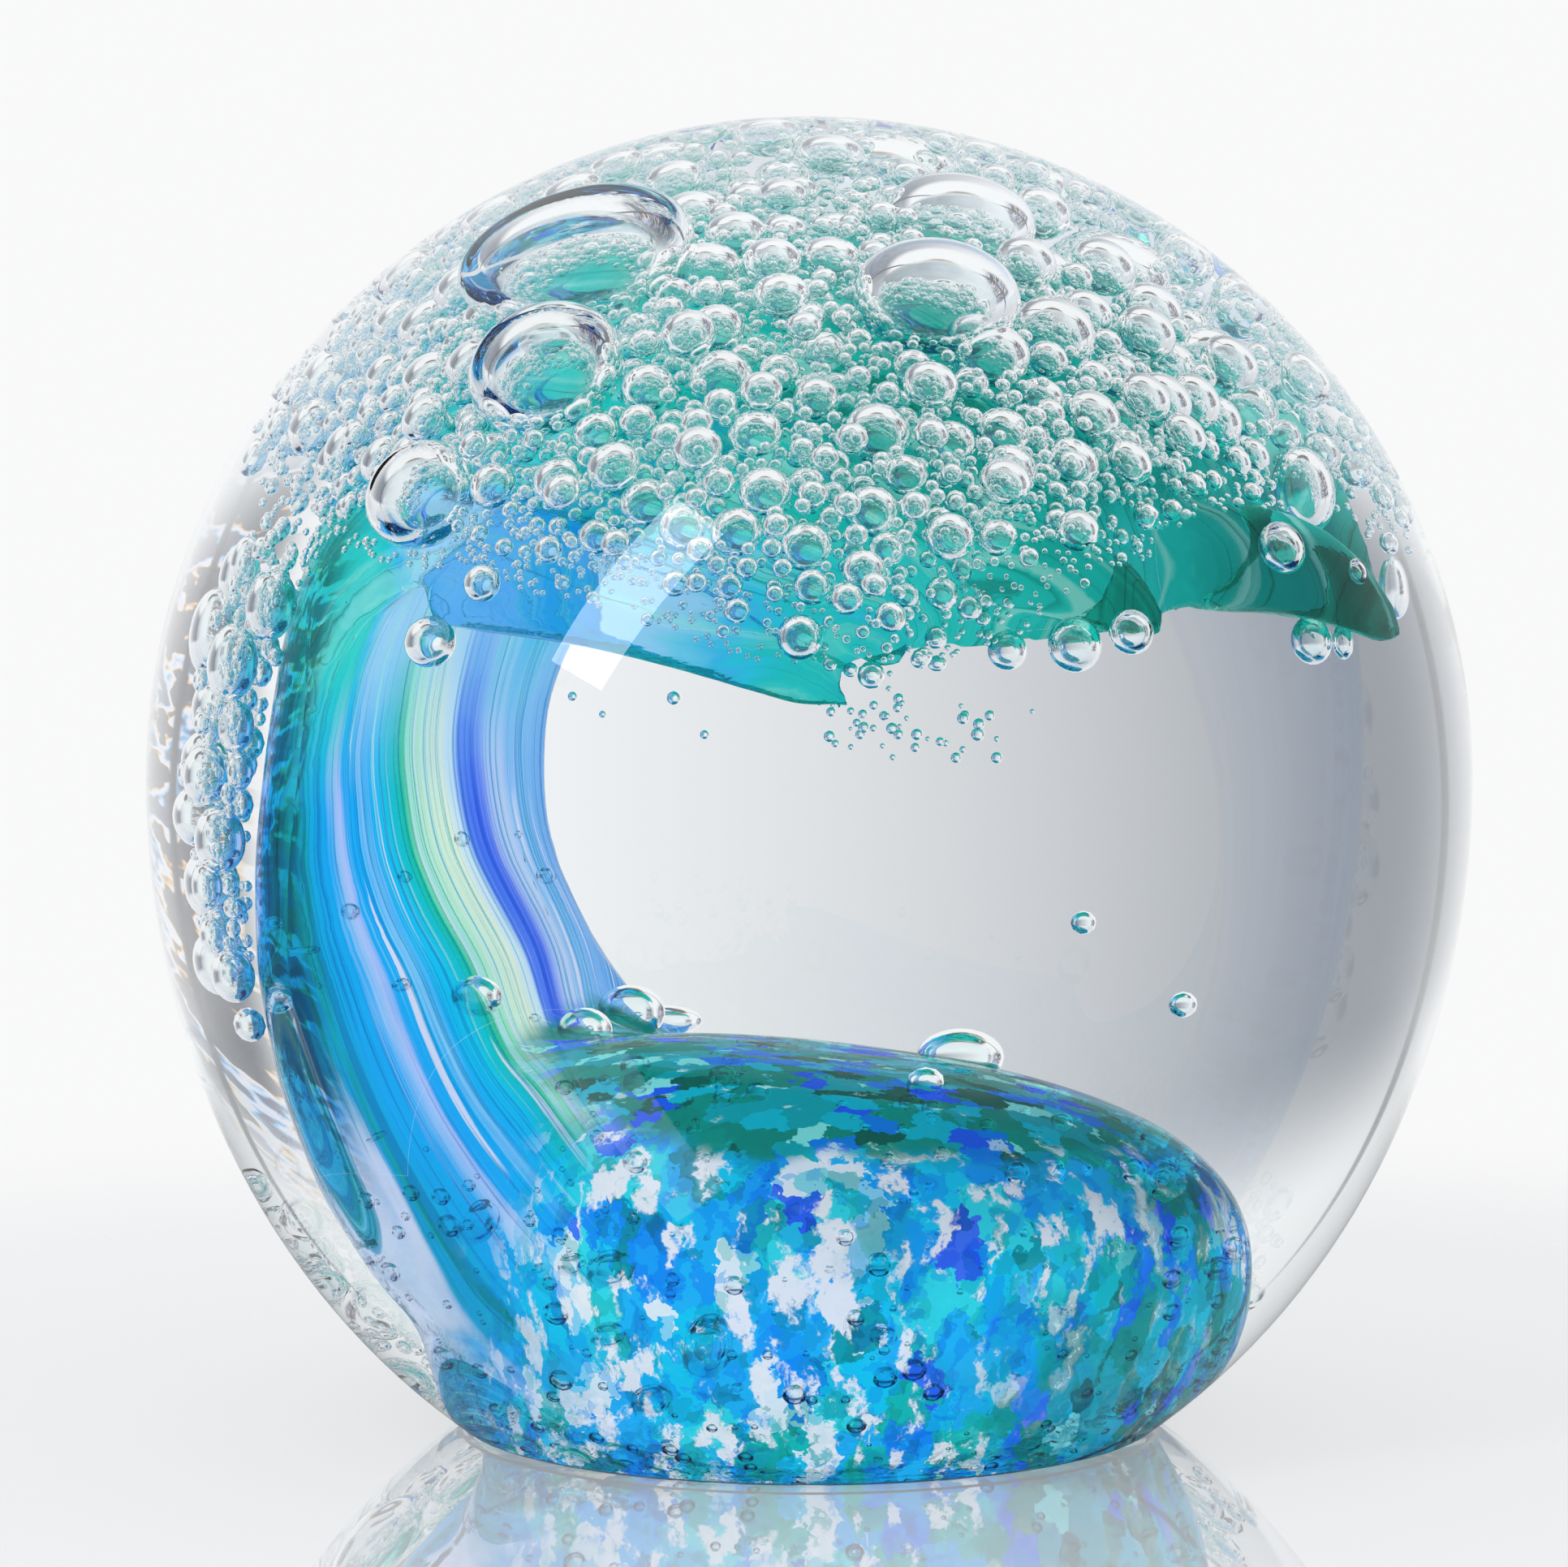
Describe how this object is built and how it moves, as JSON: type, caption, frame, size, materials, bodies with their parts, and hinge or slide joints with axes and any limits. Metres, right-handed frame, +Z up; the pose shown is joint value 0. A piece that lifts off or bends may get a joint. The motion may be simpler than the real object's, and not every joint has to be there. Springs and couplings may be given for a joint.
{
  "type": "glass paperweight",
  "caption": "Clear glass ball on a flat ground base with a curling ocean wave of coloured glass and bubble foam cased inside.",
  "frame": {"origin": "middle of the flat ground base", "axes": "+Z up; -Y towards the side that shows the wave's open curl, +X the way the crest falls as seen from there"},
  "size_m": [0.08, 0.08, 0.0793],
  "materials": {
    "clear_glass": "polished",
    "frit_glass": "polished",
    "streak_glass": "polished",
    "lip_glass": "polished",
    "crest_glass": "polished",
    "foam_glass": "bubbled"
  },
  "bodies": {
    "root": {"clear_casing": "clear_glass", "clear_core": "clear_glass", "frit_skin": "frit_glass", "curl_skin": "streak_glass", "curl_lip": "lip_glass", "crest_sheet": "crest_glass", "crest_finger_point": "crest_glass", "crest_finger_middle": "crest_glass", "crest_finger_long": "crest_glass", "crest_finger_back": "crest_glass", "foam_crown": "foam_glass", "foam_trail": "foam_glass"}
  },
  "joints": []
}
